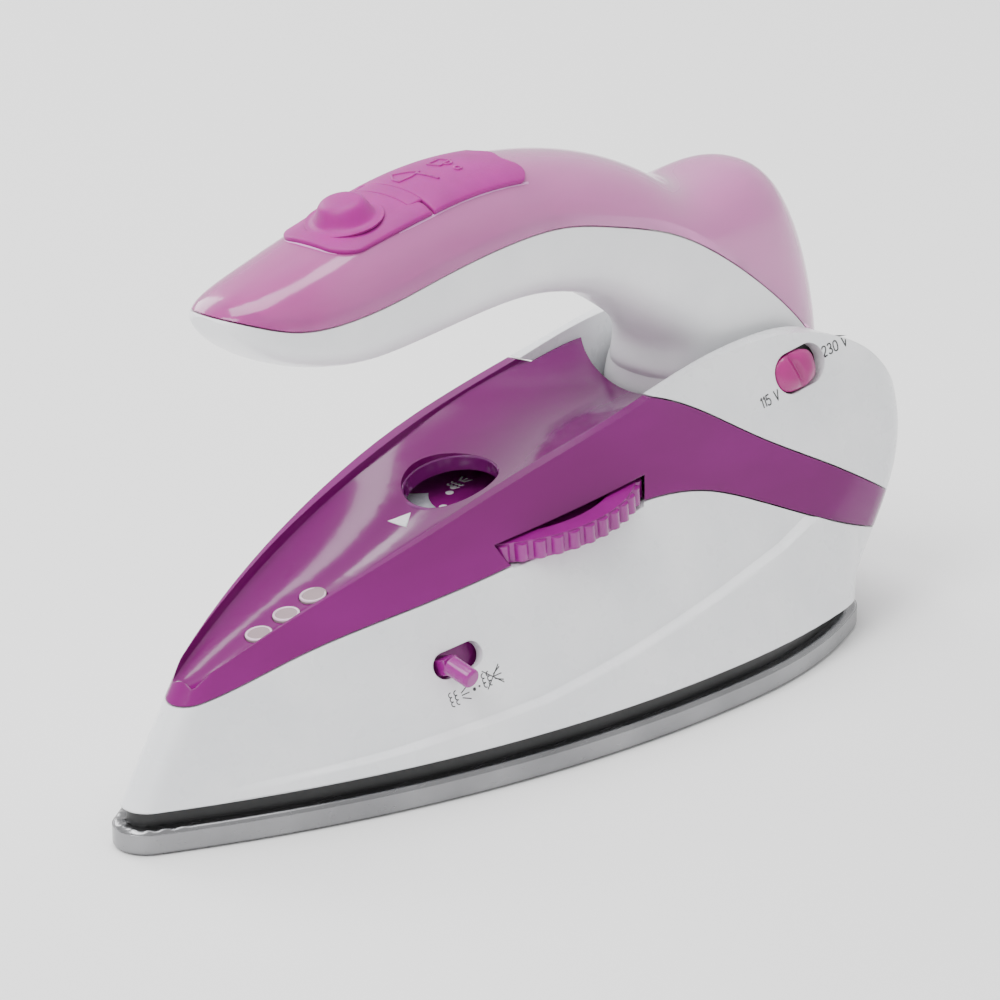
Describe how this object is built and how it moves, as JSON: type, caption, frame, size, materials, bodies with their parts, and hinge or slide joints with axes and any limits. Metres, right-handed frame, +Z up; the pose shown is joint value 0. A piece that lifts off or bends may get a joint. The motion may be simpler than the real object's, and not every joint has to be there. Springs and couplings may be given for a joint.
{
  "type": "clothes iron",
  "caption": "Compact travel steam iron with a folding water-tank handle, see-through cover, ribbed heat dial, steam lever, spray pump, filler flap and voltage selector.",
  "frame": {"origin": "underside of the sole, middle of its length and width", "axes": "+X towards the heel, -X towards the nose, +Z up through the handle, Y across; the pictured side with the levers is -Y"},
  "size_m": [0.202, 0.0808, 0.1102],
  "materials": {
    "sole_steel": "brushed",
    "cast_alloy": "as cast",
    "element_steel": "dull",
    "shield_black": "matte",
    "screw_steel": "bright",
    "contact_brass": "plain",
    "housing_white": "gloss",
    "cover_magenta": "clear tinted gloss",
    "lens_clear": "clear",
    "board_tan": "plain",
    "control_magenta": "gloss",
    "bush_rubber": "matte",
    "washer_nylon": "satin",
    "hose_silicone": "satin",
    "tank_pink": "clear tinted gloss",
    "pad_silicone": "matte silicone"
  },
  "bodies": {
    "base": {"soleplate_skin": "sole_steel", "sole_casting": "cast_alloy", "heating_element": "element_steel", "chamber_lid": "cast_alloy", "heat_shield": "shield_black", "sole_screws": "screw_steel", "thermostat_frame": "element_steel", "thermostat_contacts": "contact_brass", "thermal_fuse": "element_steel", "terminal_block": "shield_black", "lower_housing": "housing_white", "top_cover": "cover_magenta", "pilot_lenses": "lens_clear", "lamp_board": "board_tan", "rear_housing": "housing_white", "voltage_switch": "shield_black", "cord_bush": "bush_rubber", "pivot_pin": "screw_steel", "fold_washers": "washer_nylon", "feed_hose": "hose_silicone", "steam_valve": "washer_nylon"},
    "handle": {"grip_shell": "housing_white", "water_tank": "tank_pink", "feed_tube": "hose_silicone", "grip_screws": "screw_steel", "pump_body": "washer_nylon", "pump_spring": "screw_steel", "button_pad": "pad_silicone"},
    "pump": {"pump_button": "pad_silicone"},
    "flap": {"filler_flap": "pad_silicone"},
    "dial": {"temperature_dial": "control_magenta", "dial_spindle": "screw_steel"},
    "lever": {"steam_lever": "control_magenta"},
    "selector": {"voltage_knob": "control_magenta"}
  },
  "joints": [
    {"name": "handle_fold", "type": "hinge", "parent": "base", "child": "handle", "pos_m": [0.07, 0, 0.049], "axis": [0, -1, 0], "range_deg": [0, 20]},
    {"name": "pump_press", "type": "slide", "parent": "handle", "child": "pump", "axis": [0.222, 0, -0.975], "range_m": [0, 0.0026], "stiffness_N_per_m": 900, "springref_m": -0.0015, "deforming": ["pump_spring"]},
    {"name": "flap_open", "type": "hinge", "parent": "handle", "child": "flap", "pos_m": [-0.019, 0, 0.1079], "axis": [0, -1, 0], "range_deg": [0, 100]},
    {"name": "dial_turn", "type": "hinge", "parent": "base", "child": "dial", "pos_m": [0.01, 0, 0.0413], "axis": [-0.1045, 0, 0.9945], "range_deg": [-100, 120]},
    {"name": "lever_slide", "type": "slide", "parent": "base", "child": "lever", "axis": [0.9681, -0.2024, 0.148], "range_m": [0, 0.0056]},
    {"name": "voltage_slide", "type": "slide", "parent": "base", "child": "selector", "axis": [0.9792, -0.1117, 0.1692], "range_m": [0, 0.0022]}
  ]
}
